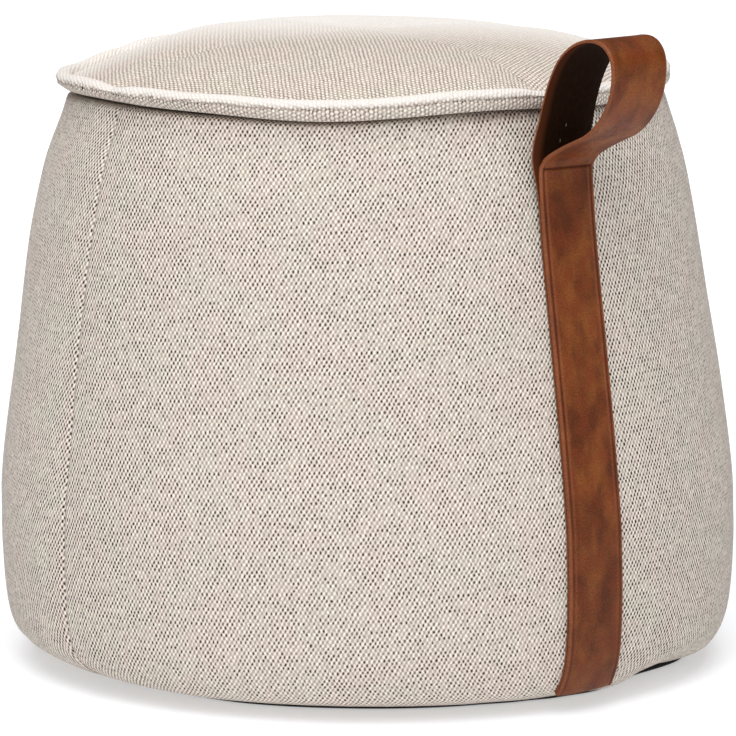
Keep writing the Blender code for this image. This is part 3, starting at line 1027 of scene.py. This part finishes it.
def add_base(look):
    """Black cloth that closes the underside: flat on the floor, with a soft turned up edge."""
    edge = BASE_TOP
    outline = [
        Vector((0, 0)),
        Vector((BASE_RADIUS - BASE_EDGE_WIDTH, 0)),
        Vector((BASE_RADIUS - 0.0012, 0.0003)),
        Vector((BASE_RADIUS, 0.0012)),
        Vector((BASE_RADIUS - 0.0004, edge - 0.0004)),
        Vector((BASE_RADIUS - 0.002, edge)),
        Vector((0, edge)),
    ]
    shape = full_turn(outline, 2 * SIDE_COLUMNS, False)
    # Beside the strap the cloth is pulled further out, where the hem above it lifts
    for vert in shape.verts:
        x, y, _ = vert.co
        turn = math.remainder(turn_from_strap(x, y), 360)
        pulled = look.base_reach * smooth_step(-turn, *BASE_REACH_START)
        pulled *= 1 - smooth_step(-turn, *BASE_REACH_END)
        pulled += wave_at(HEM_WAVE, x, y)
        pulled += look.base_show * (1 - smooth_step(abs(turn - BASE_SHOW_TURN), *BASE_SHOW_FADE))
        pulled *= smooth_step(math.hypot(x, y), BASE_STILL_RADIUS, BASE_RADIUS - BASE_EDGE_WIDTH)
        vert.co = pushed(vert.co, pulled)
    black = material_once("base_cover_cloth", base_cloth_material, look)
    base = add_piece("base_cover", shape, [black], ["base_cloth"])


def strap_path(look):
    """Middle of the whole band, as (outward, height): up the side, round the loop and down again."""
    curve = side_curve(look)
    lengths = running_lengths(curve)
    heights = [STRAP_END_HEIGHT]
    for height, _ in SIDE_SECTIONS:
        if STRAP_END_HEIGHT < height < STRAP_LEAVES_BODY_HEIGHT:
            heights.append(height)
    plies = []
    for stand_off in (SEAM_GAP + PLY_THICKNESS / 2, SEAM_GAP + PLY_GAP + 1.5 * PLY_THICKNESS):
        ply = []
        for height in heights:
            radius = curve_value(curve, lengths, height)[0]
            slope = (curve_value(curve, lengths, height + SEAM_GAP)[0]
                     - curve_value(curve, lengths, height - SEAM_GAP)[0]) / (2 * SEAM_GAP)
            ply.append(Vector((radius, height)) + stand_off * Vector((1, -slope)).normalized())
        plies.append(ply)
    loop = [Vector(point) for point in LOOP_SECTIONS]
    return smooth_curve(plies[0] + loop + plies[1][::-1], 12)


def band_section(look):
    """Section of the band as (across, lift, grain side): creased grain side, round edges, flat inside."""
    half = STRAP_WIDTH / 2
    lift = PLY_THICKNESS / 2
    crease = half - look.crease_inset
    right = (
        (crease - 0.0014, lift),
        (crease - 0.0006, lift - 0.3 * look.crease_depth),
        (crease - 0.0002, lift - look.crease_depth),
        (crease + 0.0002, lift - look.crease_depth),
        (crease + 0.0006, lift - 0.2 * look.crease_depth),
        (crease + 0.0011, lift + 0.00010),
        (half - 0.0007, lift),
        (half - 0.0002, lift - 0.0003),
        (half, 0.0),
    )
    middle = [(share * 0.003, lift) for share in range(-4, 5)]
    grain = [(-across, up) for across, up in reversed(right)] + middle + list(right)
    flesh = [(half, 0.0002 - lift), (half - 0.0002, -lift)]
    flesh += [(share * 0.006, -lift) for share in range(2, -3, -1)]
    flesh += [(0.0002 - half, -lift), (-half, 0.0002 - lift)]
    return [(across, up, True) for across, up in grain] + [(across, up, False) for across, up in flesh]


def place_on_path(path, lengths, distance):
    """Point of a path at a distance along it, and the way that the path runs there."""
    index = min(max(bisect_right(lengths, distance) - 1, 0), len(path) - 2)
    share = (distance - lengths[index]) / (lengths[index + 1] - lengths[index])
    before = path[max(index - 1, 0)]
    start, end = path[index], path[index + 1]
    after = path[min(index + 2, len(path) - 1)]
    along = (end - before).normalized().lerp((after - start).normalized(), share)
    return start.lerp(end, share), along.normalized()


def on_band(path, lengths, distance, across, lift, look):
    """Where a point of the flat band lies, from how far it is along, across and off the middle layer."""
    half = STRAP_WIDTH / 2
    total = lengths[-1]
    # Both ends are cut on a slant, higher on the +X edge
    right_share = (across / half + 1) / 2
    from_end = min(distance, total - distance)
    slant = STRAP_END_SLANT * right_share**2 * (1 - smooth_step(from_end, 0, SLANT_FADE))
    over = distance > total / 2
    middle, along = place_on_path(path, lengths, distance - slant if over else distance + slant)
    off_bend = (middle - Vector(FULL_BEND)).length
    fullness = look.bend_fullness * right_share * bump(off_bend, FULL_BEND_REACH)
    off_stitches = middle.y - CROSS_STITCH_HEIGHT
    if over:
        fullness += look.fold_fullness * bump(off_stitches - FOLD_RISE, FOLD_HALF_HEIGHT)
        if lift > 0 and abs(across) < half - look.crease_inset:
            lift -= look.cross_depth * bump(off_stitches, CROSS_HALF_WIDTH)
    lift += fullness
    outward = middle.x - along.y * lift
    height = middle.y + along.x * lift
    sideways = across + STRAP_SHIFT
    if not over:
        # The first ply is spread a little where the loop starts
        sideways -= look.flare * (1 - right_share) ** 3 * bump(height - FLARE_HEIGHT, FLARE_HALF_HEIGHT)
    flat = smooth_step(height, STRAP_LEAVES_BODY_HEIGHT, STRAP_IS_FLAT_HEIGHT)
    wrap = (outward - math.sqrt(outward**2 - sideways**2)) * (1 - flat)
    return lean(Vector((sideways, wrap - outward, height)))


def sweep_band(look):
    """Open ended band along its path, with its rings of corners, layer of flat places and section."""
    path = strap_path(look)
    lengths = running_lengths(path)
    section = band_section(look)
    cross = band_distance(look, CROSS_STITCH_HEIGHT, True)
    shape = bmesh.new()
    layer = shape.verts.layers.float_vector.new("band")
    ring = [shape.verts.new((across, 0, up)) for across, up, _ in section]
    edges = [shape.edges.new((ring[index - 1], ring[index])) for index in range(len(ring))]
    rings = []
    for index, distance in enumerate(lengths):
        if index:
            swept = bmesh.ops.extrude_edge_only(shape, edges=edges)["geom"]
            ring = [part for part in swept if isinstance(part, bmesh.types.BMVert)]
            edges = [part for part in swept if isinstance(part, bmesh.types.BMEdge)
                     and part.verts[0] in ring and part.verts[1] in ring]
        rings.append(ring)
        # The creases beside the edges start where the two plies are sewn together
        fade = 1 - smooth_step(distance, cross - CREASE_FADE, cross)
        for vert, (across, up, _) in zip(ring, section):
            if up > 0 and abs(across) < STRAP_WIDTH / 2 - 0.0015:
                up += fade * (PLY_THICKNESS / 2 - up)
            vert.co = on_band(path, lengths, distance, across, up, look)
            vert[layer] = (across, distance, 0)
    return shape, rings, layer, section


def add_strap(look):
    shape, rings, layer, section = sweep_band(look)
    for ring in (rings[0], rings[-1]):
        ends = [edge for edge in shape.edges if edge.verts[0] in ring and edge.verts[1] in ring]
        bmesh.ops.holes_fill(shape, edges=ends, sides=0)
    bmesh.ops.recalc_face_normals(shape, faces=shape.faces)
    uv = shape.loops.layers.uv.new(UV_NAME)
    flesh_index = {id(vert) for ring in rings for vert, part in zip(ring, section) if not part[2]}
    for face in shape.faces:
        if all(id(vert) in flesh_index for vert in face.verts):
            face.material_index = 1
        for loop in face.loops:
            loop[uv].uv = loop.vert[layer].xy
    shape.verts.layers.float_vector.remove(layer)
    grain = material_once("strap_leather", grain_leather, look)
    flesh = material_once("strap_flesh_side", flesh_leather, look)
    band = add_piece("strap_band", shape, [grain, flesh], ["strap"])
    total = running_lengths(strap_path(look))[-1]


def add_stitches(name, places, size, thread):
    """Short stitches of one thread, each given by its middle and the way it runs."""
    length, width = size
    shape = bmesh.new()
    for middle, way in places:
        turn = way.to_track_quat("Z", "Y").to_matrix().to_4x4()
        stretch = Matrix.Diagonal((width, width, length, 1))
        bmesh.ops.create_uvsphere(shape, u_segments=8, v_segments=6, radius=0.5,
                                  matrix=Matrix.Translation(middle) @ turn @ stretch)
    add_piece(name, shape, [thread])


def add_seam_stitches(look):
    """Stitches that hold the side panels together, sunk into each quarter seam."""
    curve = side_curve(look)
    lengths = running_lengths(curve)
    rows = []
    distance = SEAM_STITCHES_START
    while distance < lengths[-1] - SEAM_STITCHES_END:
        middle, _ = place_on_path(curve, lengths, distance)
        rows.append(middle)
        distance += look.stitch_spacing
    # The seam thread is dark brown, partly standing in for painted shade in the stitch holes
    thread = material_once("seam_thread_and_hole_shade", spun_thread, look.seam_thread_and_hole_shade)
    for number, (name, _, _) in enumerate(QUARTERS):
        turn = Matrix.Rotation(number * QUARTER_TURN, 3, "Z")
        line = [stuffed(on_side(turn @ Vector((row.x, 0, row.y)), look)) for row in rows]
        places = [(point, following - point) for point, following in zip(line, line[1:])]
        add_stitches(f"seam_stitches_{name}", places, SEAM_STITCH, thread)


def add_strap_stitches(look):
    """Stitches across the crease under the loop, and those inside the loop that hold it to the cover."""
    path = strap_path(look)
    lengths = running_lengths(path)
    cross = band_distance(look, CROSS_STITCH_HEIGHT, True)
    lift = PLY_THICKNESS / 2 + 0.0001
    places = []
    for number in range(-CREASE_STITCHES_EACH_WAY, CREASE_STITCHES_EACH_WAY + 1):
        middle = on_band(path, lengths, cross, number * CREASE_STITCH_SPACING, lift, look)
        places.append((middle, Vector((1, 0, 0))))
    thread = material_once("strap_thread", spun_thread, look.strap_thread)
    add_stitches("crease_stitches", places, CREASE_STITCH, thread)
    places = []
    for height, across in LOOP_STITCHES:
        distance = band_distance(look, height, False)
        start = on_band(path, lengths, distance, across, -PLY_THICKNESS / 2, look)
        end = on_band(path, lengths, distance + 0.001, across, -PLY_THICKNESS / 2, look)
        places.append((start, end - start))
    thread = material_once("pale_thread", spun_thread, look.pale_thread)
    add_stitches("loop_stitches", places, LOOP_STITCH, thread)


def length_property(name, value, description):
    return FloatProperty(name=name, default=value, description=description, precision=5, unit="LENGTH")


def share_property(name, value, description):
    return FloatProperty(name=name, default=value, description=description, subtype="FACTOR")


def colour_property(name, value, description):
    return FloatVectorProperty(name=name, default=value, description=description, subtype="COLOR")


class PoufLook(bpy.types.PropertyGroup):
    """Sizes and colours that a maker would change."""

    widest_radius: length_property("Widest radius", 0.230, "Radius of the body where it is widest")
    warp_spacing: length_property("Warp spacing", 0.00149, "Distance between two warp yarns")
    weft_spacing: length_property("Weft spacing", 0.00226, "Distance between two weft yarns")
    top_weft_spacing: length_property("Weft spacing on top", 0.00250, "The same, stretched over the crown")
    grain_lean: share_property("Grain lean", 0.57, "How far the warp grains lean: 0.5 is upright")
    dark_start: share_property("Dark fibre start", 0.60, "Higher leaves fewer dark crossings")
    weave_relief: share_property("Weave relief", 0.7, "Strength of the yarns' relief")
    warp_light: colour_property("Light warp", (0.97, 0.885, 0.805), "Lightest warp yarn")
    warp_dark: colour_property("Dark warp", (0.74, 0.655, 0.580), "Darkest warp yarn")
    weft_light: colour_property("Light weft", (0.50, 0.428, 0.368), "Lightest weft yarn")
    # Partly painted shade: the darkest weft also stands in for the shade in the weave's hollows
    weft_dark_and_hollow_shade: colour_property("Dark weft", (0.030, 0.020, 0.014), "Darkest weft yarn")
    # Pale yarn backs, which also paint a sheen on the crown's back and a highlight on the roll
    yarn_back_and_sheen: colour_property("Yarn back", (0.96, 0.945, 0.925), "Yarns of a tightly closed weave")
    side_swell: length_property("Side swell", 0.0012, "Unevenness of the filled side")
    seam_depth: length_property("Seam depth", 0.0013, "How far a seam draws the cloth in")
    seam_width: length_property("Seam width", 0.0019, "Half the width of the hollow beside a seam")
    strap_recess: length_property("Recess at the strap", 0.0040, "How far the side is held in beside it")
    hem_lift: length_property("Hem lift", 0.0026, "How far the hem stands off the base beside the strap")
    hem_tuck: length_property("Hem tuck", 0.0052, "How much further the hem is tucked under at the sides")
    base_reach: length_property("Base reach", 0.0230, "How far the base cloth is pulled out there")
    base_show: length_property("Base show", 0.0042,
                               "How far the base cloth shows beyond the hem at the front")
    gather_depth: length_property("Gather depth", 0.0011, "Depth of the gathers beside the rim's seam")
    leather_light: colour_property("Light leather", (0.215, 0.061, 0.0125), "Lightest tan")
    leather_dark: colour_property("Dark leather", (0.098, 0.023, 0.0042), "Darkest tan")
    leather_red: colour_property("Red leather", (0.170, 0.033, 0.0080), "Redder clouds of the tan")
    # Painted highlight: the lighter colour on the ridges beside the creases and on the border to the edge
    leather_ridge_highlight: colour_property("Rubbed leather", (0.270, 0.090, 0.0400),
                                    "Lighter leather beside the creases")
    # Painted shade: the dark red painted into the creases
    leather_crease_shade: colour_property("Crease", (0.085, 0.012, 0.0020), "Dye in the leather's creases")
    # Painted shade: the inner side's colours are darkened to stand in for the shade inside the loop, and the
    # darker one also paints the shade where the first ply meets the cloth
    flesh_light_and_shade: colour_property("Light flesh side", (0.028, 0.0100, 0.0030), "Inner side of the band")
    flesh_dark_and_shade: colour_property("Dark flesh side", (0.007, 0.0022, 0.0008), "Inner side of the band")
    # Partly painted light: the lighter colour of the inner side's -X margin
    flesh_margin_and_light: colour_property("Flesh side's margin", (0.070, 0.019, 0.0070),
                                  "Dyed margin of the inner side")
    base_black: colour_property("Base cloth", (0.012, 0.012, 0.012), "Black of the base cloth")
    # Partly painted shade: the seam thread's dark brown also stands in for the shade in the stitch holes
    seam_thread_and_hole_shade: colour_property("Seam thread", (0.150, 0.120, 0.095), "Thread of the side's seams")
    strap_thread: colour_property("Strap thread", (0.060, 0.010, 0.0030),
                                  "Thread across the crease under the loop")
    pale_thread: colour_property("Pale thread", (0.300, 0.265, 0.220), "Thread inside the loop")
    stitch_spacing: length_property("Stitch spacing", 0.0048, "Distance between two stitches of a seam")
    crease_inset: length_property("Crease inset", 0.0025, "Distance of the crease from the band's edge")
    crease_depth: length_property("Crease depth", 0.00025, "Depth of the crease beside the band's edge")
    cross_depth: length_property("Cross crease depth", 0.0008, "Depth of the crease under the loop")
    fold_fullness: length_property("Fold fullness", 0.0005, "How far the band puffs out above that crease")
    bend_fullness: length_property("Bend fullness", 0.0018, "How much wider the loop bends on its +X edge")
    flare: length_property("Flare", 0.0034, "How far the first ply spreads where the loop starts")


def add_studio():
    shape = bmesh.new()
    bmesh.ops.create_grid(shape, x_segments=1, y_segments=1, size=30.0)
    mesh = bpy.data.meshes.new("floor")
    shape.to_mesh(mesh)
    shape.free()
    floor = bpy.data.objects.new("floor", mesh)
    bpy.context.scene.collection.objects.link(floor)
    material, _, shader = new_material("pale_floor")
    set_values(shader, {"Base Color": colour(FLOOR_COLOUR), "Roughness": 0.9, "Specular IOR Level": 0.0})
    set_values(shader, {"Emission Color": (1.0, 1.0, 1.0, 1.0), "Emission Strength": FLOOR_GLOW})
    mesh.materials.append(material)

    scene = bpy.context.scene
    scene.view_settings.view_transform = "Standard"
    world = bpy.data.worlds.new("white_studio")
    world.use_nodes = True
    background = world.node_tree.nodes["Background"]
    background.inputs["Color"].default_value = (1.0, 1.0, 1.0, 1.0)
    background.inputs["Strength"].default_value = WORLD_STRENGTH
    scene.world = world

    for name, azimuth, elevation, strength, angle in LIGHTS:
        lamp = bpy.data.lights.new(name, "SUN")
        lamp.energy = strength
        lamp.angle = math.radians(angle)
        light = bpy.data.objects.new(name, lamp)
        turn, rise = math.radians(azimuth), math.radians(elevation)
        level = math.cos(rise)
        towards = Vector((math.sin(turn) * level, -math.cos(turn) * level, math.sin(rise)))
        light.rotation_mode = "QUATERNION"
        light.rotation_quaternion = towards.to_track_quat("Z", "Y")
        scene.collection.objects.link(light)

    lens = bpy.data.cameras.new("camera")
    lens.lens = CAMERA_LENS
    lens.sensor_width = SENSOR_WIDTH
    lens.clip_end = 100.0
    camera = bpy.data.objects.new("camera", lens)
    camera.location = (CAMERA_DISTANCE * math.sin(CAMERA_AZIMUTH),
                       -CAMERA_DISTANCE * math.cos(CAMERA_AZIMUTH), CAMERA_HEIGHT)
    camera.rotation_euler = (QUARTER_TURN - CAMERA_PITCH, 0, CAMERA_AZIMUTH + CAMERA_YAW)
    scene.collection.objects.link(camera)
    scene.camera = camera


class POUF_OT_side_cloth(bpy.types.Operator):
    """Add the four filled side panels of the cover"""

    bl_idname = "pouf.side_cloth"
    bl_label = "Add side cloth"

    def execute(self, context):
        for number, (name, side_turn, _) in enumerate(QUARTERS):
            add_side_panel(number, name, side_turn, context.scene.pouf_look)
        return {"FINISHED"}


class POUF_OT_top_cloth(bpy.types.Operator):
    """Add the four crowned top panels with their rolled rim"""

    bl_idname = "pouf.top_cloth"
    bl_label = "Add top cloth"

    def execute(self, context):
        for number, (name, _, top_turn) in enumerate(QUARTERS):
            add_top_panel(number, name, top_turn, context.scene.pouf_look)
        return {"FINISHED"}


class POUF_OT_rim_facing(bpy.types.Operator):
    """Add the facing strip under the rolled rim"""

    bl_idname = "pouf.rim_facing"
    bl_label = "Add rim facing"

    def execute(self, context):
        add_rim_facing(context.scene.pouf_look)
        return {"FINISHED"}


class POUF_OT_base(bpy.types.Operator):
    """Add the black cloth under the pouf"""

    bl_idname = "pouf.base"
    bl_label = "Add base cloth"

    def execute(self, context):
        add_base(context.scene.pouf_look)
        return {"FINISHED"}


class POUF_OT_strap(bpy.types.Operator):
    """Add the leather band with its loop"""

    bl_idname = "pouf.strap"
    bl_label = "Add strap"

    def execute(self, context):
        add_strap(context.scene.pouf_look)
        return {"FINISHED"}


class POUF_OT_stitches(bpy.types.Operator):
    """Add the stitches of the side's seams and of the strap"""

    bl_idname = "pouf.stitches"
    bl_label = "Add stitches"

    def execute(self, context):
        add_seam_stitches(context.scene.pouf_look)
        add_strap_stitches(context.scene.pouf_look)
        return {"FINISHED"}


class POUF_OT_studio(bpy.types.Operator):
    """Add the floor, the lights and the camera"""

    bl_idname = "pouf.studio"
    bl_label = "Add studio"

    def execute(self, context):
        add_studio()
        return {"FINISHED"}


class POUF_PT_panel(bpy.types.Panel):
    """Lists the pieces of the pouf and their sizes and colours"""

    bl_idname = "POUF_PT_panel"
    bl_label = "Pouf"
    bl_space_type = "VIEW_3D"
    bl_region_type = "UI"
    bl_category = "Pouf"

    def draw(self, context):
        for operator in OPERATORS:
            self.layout.operator(operator.bl_idname)
        for name in PoufLook.__annotations__:
            self.layout.prop(context.scene.pouf_look, name)


OPERATORS = (
    POUF_OT_studio,
    POUF_OT_side_cloth,
    POUF_OT_top_cloth,
    POUF_OT_rim_facing,
    POUF_OT_base,
    POUF_OT_strap,
    POUF_OT_stitches,
)
CLASSES = (PoufLook, *OPERATORS, POUF_PT_panel)


def register():
    for made in CLASSES:
        bpy.utils.register_class(made)
    bpy.types.Scene.pouf_look = PointerProperty(type=PoufLook)


def unregister():
    del bpy.types.Scene.pouf_look
    for made in reversed(CLASSES):
        bpy.utils.unregister_class(made)


def main():
    register()
    bpy.ops.pouf.studio()
    bpy.ops.pouf.side_cloth()
    bpy.ops.pouf.top_cloth()
    bpy.ops.pouf.rim_facing()
    bpy.ops.pouf.base()
    bpy.ops.pouf.strap()
    bpy.ops.pouf.stitches()


if __name__ == "__main__":
    main()
